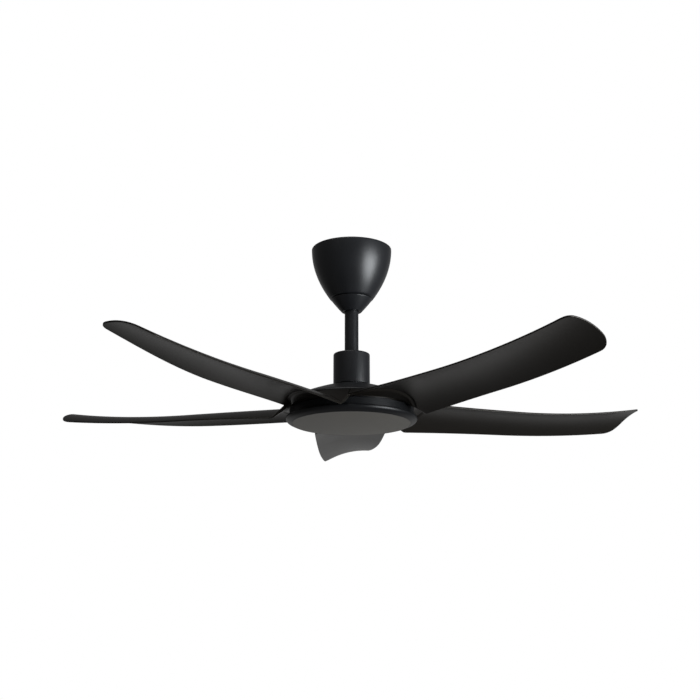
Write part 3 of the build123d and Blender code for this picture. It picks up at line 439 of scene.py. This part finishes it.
def spaced(points, places):
    """Points at given shares of a plan curve's length."""
    points = np.array(points)
    steps = np.linalg.norm(np.diff(points, axis=0), axis=1)
    lengths = np.concatenate([[0], np.cumsum(steps)])
    at = np.array(places) * lengths[-1]
    return np.stack([np.interp(at, lengths, points[:, 0]), np.interp(at, lengths, points[:, 1])], axis=1)


def heading(turn):
    """A step of one unit at an angle in plan."""
    return np.array([math.cos(turn), math.sin(turn)])


def turn_of(vector):
    """The angle of a step in plan."""
    return math.atan2(vector[1], vector[0])


def round_corner(before, corner, after, radius, steps=16):
    """A plan corner rounded between two nearly straight runs."""
    a = np.subtract(before, corner)
    b = np.subtract(after, corner)
    a, b = a / np.linalg.norm(a), b / np.linalg.norm(b)
    half = math.acos(float(np.dot(a, b))) / 2
    middle = (a + b) / np.linalg.norm(a + b)
    centre = np.array(corner) + middle * radius / math.sin(half)
    reach = radius / math.tan(half)
    start = turn_of(np.array(corner) + a * reach - centre)
    end = turn_of(np.array(corner) + b * reach - centre)
    sweep = (end - start + math.pi) % math.tau - math.pi
    return [centre + radius * heading(start + sweep * i / steps) for i in range(steps + 1)]


def seam(reach, turn, side):
    """Points of the slanted seam between two roots, turned about the axis, half the gap aside."""
    start, lean = seam_start + turn, seam_lean + turn
    x = seam_radius * math.cos(start) + reach * math.cos(lean) - side * seam_half_gap * math.sin(lean)
    y = seam_radius * math.sin(start) + reach * math.sin(lean) + side * seam_half_gap * math.cos(lean)
    return np.stack([x, y], axis=1)


def blade_plan():
    """The blade's plan: its leading and trailing sides, each a foot and a run, its root and tip."""
    along_seam = np.linspace(*seam_ends, 9001)
    seams = seam(along_seam, -blade_step, 1), seam(along_seam, 0, -1)
    starts = [line[np.argmin(np.abs(line[:, 1] - curve(line[:, 0])))]
              for line, curve in zip(seams, (lead_curve, trail_curve))]
    turns = [turn_of(line[np.argmin(np.abs(np.hypot(*line.T) - band_inner))]) for line in seams]
    lead_tip = np.array([leading_ends[1], float(lead_curve(leading_ends[1]))])
    trail_tip = np.array([trailing_points[0][2], trailing_points[1][2]])
    centre, radius = circle_through(lead_tip, tip_bulge, trail_tip)

    def edge_before(curve, tip, way):
        """A place on an edge's curve a little way inboard of the tip."""
        return tip[0] - way, float(curve(tip[0] - way))

    def on_tip(point, way):
        """A place on the tip's arc a little way along it from one of its ends."""
        return centre + radius * heading(turn_of(point - centre) + way / radius)

    lead_round = round_corner(edge_before(lead_curve, lead_tip, leading_corner_runs[0]), lead_tip,
                              on_tip(lead_tip, leading_corner_runs[1]), tip_leading_round)
    trail_round = round_corner(edge_before(trail_curve, trail_tip, trailing_corner_runs[0]), trail_tip,
                               on_tip(trail_tip, -trailing_corner_runs[1]), tip_trailing_round)
    inner = [band_inner * heading(turn) for turn in np.linspace(*turns, 60)]
    sides = []
    for curve, start, corner, root in ((lead_curve, starts[0], lead_round, inner[0]),
                                       (trail_curve, starts[1], trail_round, inner[-1])):
        run = [(u, float(curve(u))) for u in np.linspace(start[0], corner[0][0], 120)]
        foot = [root * (1 - t) + np.array(run[0]) * t for t in np.linspace(0, 1, 24)]
        sides.append((foot, run + corner[1:len(corner) // 2 + 1]))
    tip_turns = np.linspace(turn_of(lead_round[-1] - centre), turn_of(trail_round[-1] - centre), 40)
    arc = [centre + radius * heading(turn) for turn in tip_turns]
    tip = [*lead_round[len(lead_round) // 2:], *arc[1:-1], *trail_round[len(trail_round) // 2:][::-1]]
    return sides[0], sides[1], inner, tip


def blade_grid():
    """A grid over the blade's plan, finer at its edges.

    Gives each point's place, its way in from the nearest edge, and the rows in the root's foot.
    """
    (lead_foot, lead_run), (trail_foot, trail_run), inner, tip = blade_plan()
    edge = np.array([0, 0.12, 0.45, 0.95, 1.5, 2.6]) / 1000  # rings where the edge rounds over
    foot_length, run_length, chord = 0.03, 0.5, 0.13
    foot_steps = np.concatenate([edge / foot_length, np.linspace(0.15, 1, 16)])
    run_steps = np.concatenate([np.linspace(0, 0.11, 46)[1:], np.linspace(0.12, 0.99, 72),
                                1 - edge[::-1] / run_length])
    cross = np.concatenate([edge / chord, np.linspace(0.03, 0.97, 74), 1 - edge[::-1] / chord])
    lead = np.concatenate([spaced(lead_foot, foot_steps), spaced(lead_run, run_steps)])
    trail = np.concatenate([spaced(trail_foot, foot_steps), spaced(trail_run, run_steps)])
    root_side = spaced(inner, cross)
    tip_side = spaced(tip, cross)
    mean = (np.linalg.norm(np.diff(lead, axis=0), axis=1)
            + np.linalg.norm(np.diff(trail, axis=0), axis=1)) / 2
    length = mean.sum()
    share = np.concatenate([[0], np.cumsum(mean) / length])
    a, b = share[:, None, None], cross[None, :, None]
    corners = ((1 - a) * (1 - b) * lead[0] + (1 - a) * b * trail[0]
               + a * (1 - b) * lead[-1] + a * b * trail[-1])
    sides = (1 - b) * lead[:, None] + b * trail[:, None]
    ends = (1 - a) * root_side[None] + a * tip_side[None]
    plan = sides + ends - corners
    a, b = a[..., 0], b[..., 0]
    width = np.linalg.norm(trail - lead, axis=1)[:, None]
    inset = np.minimum(np.minimum(b, 1 - b) * width, np.minimum(a, 1 - a) * length)
    return plan[..., 0], plan[..., 1], inset, len(foot_steps)


def blade_heights(u, v, inset, foot_rows):
    """Levels of the blade's top and underside over its grid, with its edges rounded."""
    radius = np.hypot(u, v)
    turn = np.arctan2(v, u)
    past_band = np.maximum(radius - band_outer, 0)
    bevel = np.full((len(u), 1), blade_thickness / 2)
    bevel[:foot_rows] = seam_bevel
    drop = bevel * (1 - np.sqrt(1 - (1 - np.minimum(inset, bevel) / bevel) ** 2))
    fall = (plate_top - flare_end[1]) / (flare_end[0] - band_outer)
    under_flare = plate_top - past_band * fall
    slant = (root_crest - flare_end[1] - root_thickness) / (flare_end[0] - root_shoulder)
    over_flare = root_crest - np.maximum(radius - root_shoulder, 0) * slant
    sheet = blade_top(u, v)
    top = join(sheet, over_flare)
    arch = 1 - ((turn - scoop_turn) / scoop_half_angle) ** 2
    scoop_end = band_outer + scoop_reach * np.maximum(arch, scoop_least)
    under_end = blade_top(scoop_end * np.cos(turn), scoop_end * np.sin(turn)) - blade_thickness
    scoop = plate_top + (under_end - plate_top) * past_band / (scoop_end - band_outer)
    under_sheet = sheet - blade_thickness
    under_sheet = np.where(radius < scoop_end, np.minimum(under_sheet, scoop), under_sheet)
    groove = groove_depth * np.exp(-((radius - scoop_end) / groove_width) ** 2) * (radius > band_outer)
    bottom = join(under_sheet + groove, under_flare)
    middle = (top + bottom) / 2
    return datum + np.maximum(top - drop, middle), datum + np.minimum(bottom + drop, middle)


def blade_mesh():
    """One blade in its own place: length along X, across along Y, heights in the fan's frame."""
    u, v, inset, foot_rows = blade_grid()
    levels = blade_heights(u, v, inset, foot_rows)
    rows, columns = u.shape
    form = bmesh.new()
    grid = {(side, i, j): form.verts.new((u[i, j], v[i, j], levels[side][i, j]))
            for i in range(rows) for j in range(columns) for side in (0, 1)}
    for side in (0, 1):
        for i in range(rows - 1):
            for j in range(columns - 1):
                corners = [grid[side, i, j], grid[side, i + 1, j],
                           grid[side, i + 1, j + 1], grid[side, i, j + 1]]
                form.faces.new(corners[::-1] if side else corners)
    rim = [(i, 0) for i in range(rows)] + [(rows - 1, j) for j in range(1, columns)]
    rim += [(i, columns - 1) for i in range(rows - 2, -1, -1)]
    rim += [(0, j) for j in range(columns - 2, 0, -1)]
    for here, there in zip(rim, rim[1:] + rim[:1]):
        form.faces.new([grid[0, *here], grid[0, *there], grid[1, *there], grid[1, *here]])
    bmesh.ops.remove_doubles(form, verts=form.verts, dist=weld)

    pad_low, pad_high = datum + plate_top, datum + plate_top + root_thickness
    pad_outer = band_inner + pad_overlap
    pad_outline = [(pad_inner, pad_low), (pad_inner, pad_high),
                   (pad_outer, pad_high), (pad_outer, pad_low)]
    pad = [[form.verts.new((*(reach * heading(turn)), level)) for reach, level in pad_outline]
           for turn in np.linspace(-pad_angle, pad_angle, 30)]
    for here, there in zip(pad, pad[1:]):
        for k in range(4):
            form.faces.new([here[k - 1], there[k - 1], there[k], here[k]])
    form.faces.new(pad[0])
    form.faces.new(pad[-1][::-1])
    bmesh.ops.recalc_face_normals(form, faces=form.faces)
    mesh = bpy.data.meshes.new("blade_sheet")
    form.to_mesh(mesh)
    form.free()
    mesh.shade_smooth()
    mesh.set_sharp_from_angle(angle=sharp_angle)
    return mesh


blade_black = satin("blade_black", (0.0095, 0.0082, 0.0068), 0.32, grain=0.0006, bump=0.10,
                    cloud=9, mottle=0.15)
blade_shader = blade_black.node_tree.nodes["Principled BSDF"]
blade_shader.inputs["IOR"].default_value = 1.38
blade_shader.inputs["Specular Tint"].default_value = (1.0, 0.95, 0.88, 1)
sheet_mesh = blade_mesh()
for number in range(blade_count):
    blade = bpy.data.objects.new(f"swept_blade_{number + 1}", sheet_mesh.copy())
    blade.data.transform(Matrix.Rotation(blade_azimuth + number * blade_step, 4, "Z"))
    bpy.context.scene.collection.objects.link(blade)
    dress(blade, blade_black, "rotor", f"blade_{number + 1}")

# ---------------------------------------------------------------- light
# A round flat light under the hub: a spun steel housing whose ring closes the hub from below,
# a moulded black trim ring, and a frosted opal cover that locks into it with a short turn.
ring_coat = satin("ring_coat", (0.008, 0.0085, 0.0095), 0.42, grain=0.0006, bump=0.08, cloud=45)
ring_coat.node_tree.nodes["Principled BSDF"].inputs["IOR"].default_value = 1.28
repaint(ring_coat, "light_housing")
trim_black = satin("trim_black", (0.008, 0.0085, 0.0095), 0.34, grain=0.0004, bump=0.06)
trim_black.node_tree.nodes["Principled BSDF"].inputs["IOR"].default_value = 1.33
repaint(trim_black, "light_trim")
repaint(zinc, "trim_screws")
opal = satin("frosted_opal", (0.122, 0.113, 0.098), 0.46, grain=0.0009, bump=0.03, cloud=12,
             mottle=0.08)
opal_shader = opal.node_tree.nodes["Principled BSDF"]
opal_shader.inputs["Subsurface Weight"].default_value = 0.2
opal_shader.inputs["Subsurface Radius"].default_value = (0.004, 0.004, 0.004)
repaint(opal, "diffuser")

# ---------------------------------------------------------------- light's electronics
# Inside the housing: a white masked board with its LEDs, the driver in its white case, and the
# motor's green control board. The boards are screwed to the housing's floor.
white_board = satin("white_mask", (0.78, 0.78, 0.76), 0.35, grain=0.0008, bump=0.03, cloud=70)
repaint(white_board, "led_board")
phosphor = satin("phosphor", (0.85, 0.70, 0.22), 0.3, grain=0.0004, bump=0.03, cloud=200)
repaint(phosphor, "leds")
repaint(white_case, "led_driver")
green_board = satin("green_mask", (0.02, 0.13, 0.055), 0.3, grain=0.0008, bump=0.05, cloud=160)
repaint(green_board, "control_board")

# ---------------------------------------------------------------- studio
# A pale floor at room height, a white surround and soft boxes: the fan hangs alone in the air.
# The camera stands below and in front of the fan and looks up at it.
camera_place = (-0.0031, -2.2196, -0.8138)
camera_tilt = math.radians(90 + 15.23)
camera_lens = 60.82
floor_level = -2.45
floor_size = 5
floor_lift = 0.75        # makes the floor as pale to the camera as the surround
surround_front = 0.11
surround_back = 0.34
surround_overhead = 0.12
surround_white = 1.0
back_begins, back_ends = 0.60, 0.95          # share of a direction that points back
overhead_begins, overhead_ends = 0.20, 0.65  # and up


def area_light(name, place, target, size, power, spread, colour=(1.0, 1.0, 1.0)):
    """A soft box of the studio, turned to face a point of the fan."""
    lamp = bpy.data.lights.new(name, "AREA")
    lamp.shape = "RECTANGLE"
    lamp.size, lamp.size_y = size
    lamp.energy = power
    lamp.spread = math.radians(spread)
    lamp.color = colour
    holder = bpy.data.objects.new(name, lamp)
    holder.location = place
    holder.rotation_euler = (Vector(target) - Vector(place)).to_track_quat("-Z", "Y").to_euler()
    bpy.context.scene.collection.objects.link(holder)


def eased(tree, value, begins, ends, low=0.0, high=1.0):
    """A smooth step of a value from low to high between two limits."""
    step = tree.nodes.new("ShaderNodeMapRange")
    step.interpolation_type = "SMOOTHSTEP"
    step.inputs["From Min"].default_value = begins
    step.inputs["From Max"].default_value = ends
    step.inputs["To Min"].default_value = low
    step.inputs["To Max"].default_value = high
    tree.links.new(value, step.inputs["Value"])
    return step.outputs["Result"]


def mixed(tree, factor, first, second):
    """A number that goes from a first one to a fixed second one by a factor."""
    mix = tree.nodes.new("ShaderNodeMix")
    mix.data_type = "FLOAT"
    mix.inputs["B"].default_value = second
    tree.links.new(factor, mix.inputs["Factor"])
    tree.links.new(first, mix.inputs["A"])
    return mix.outputs["Result"]


camera = bpy.data.cameras.new("camera")
camera.lens = camera_lens
camera.clip_end = 100
camera_holder = bpy.data.objects.new("camera", camera)
camera_holder.location = camera_place
camera_holder.rotation_euler = (camera_tilt, 0, 0)
bpy.context.scene.collection.objects.link(camera_holder)
bpy.context.scene.camera = camera_holder
bpy.context.scene.view_settings.view_transform = "Standard"

pale_floor = bpy.data.materials.new("pale_floor")
pale_floor.use_nodes = True
floor_tree = pale_floor.node_tree
floor_shader = floor_tree.nodes["Principled BSDF"]
floor_shader.inputs["Base Color"].default_value = (0.80, 0.79, 0.78, 1)
floor_shader.inputs["Roughness"].default_value = 0.8
floor_shader.inputs["Emission Color"].default_value = (1, 1, 1, 1)
seen = floor_tree.nodes.new("ShaderNodeLightPath")
lift = floor_tree.nodes.new("ShaderNodeMath")
lift.operation = "MULTIPLY"
lift.inputs[1].default_value = floor_lift
floor_tree.links.new(seen.outputs["Is Camera Ray"], lift.inputs[0])
floor_tree.links.new(lift.outputs["Value"], floor_shader.inputs["Emission Strength"])
bpy.ops.mesh.primitive_plane_add(size=floor_size, location=(0, 0, floor_level))
floor = bpy.context.object
floor.name = "floor"
floor.data.materials.append(pale_floor)

world = bpy.data.worlds.new("studio")
world.use_nodes = True
bpy.context.scene.world = world
sky = world.node_tree
background = sky.nodes["Background"]
background.inputs["Color"].default_value = (1, 1, 1, 1)
direction = sky.nodes.new("ShaderNodeTexCoord")
axes = sky.nodes.new("ShaderNodeSeparateXYZ")
sky.links.new(direction.outputs["Generated"], axes.inputs["Vector"])
around = eased(sky, axes.outputs["Y"], back_begins, back_ends, surround_front, surround_back)
height = eased(sky, axes.outputs["Z"], overhead_begins, overhead_ends)
path = sky.nodes.new("ShaderNodeLightPath")
shade = mixed(sky, height, around, surround_overhead)
strength = mixed(sky, path.outputs["Is Camera Ray"], shade, surround_white)
sky.links.new(strength, background.inputs["Strength"])

area_light("key_box", (2.15, -1.25, -0.75), (0, 0, -0.15), (1.9, 1.3), 16.4, 70, (0.93, 0.97, 1.0))
area_light("top_box", (-0.5, -1.6, 1.9), (0, 0, -0.3), (2.4, 1.2), 8, 120)
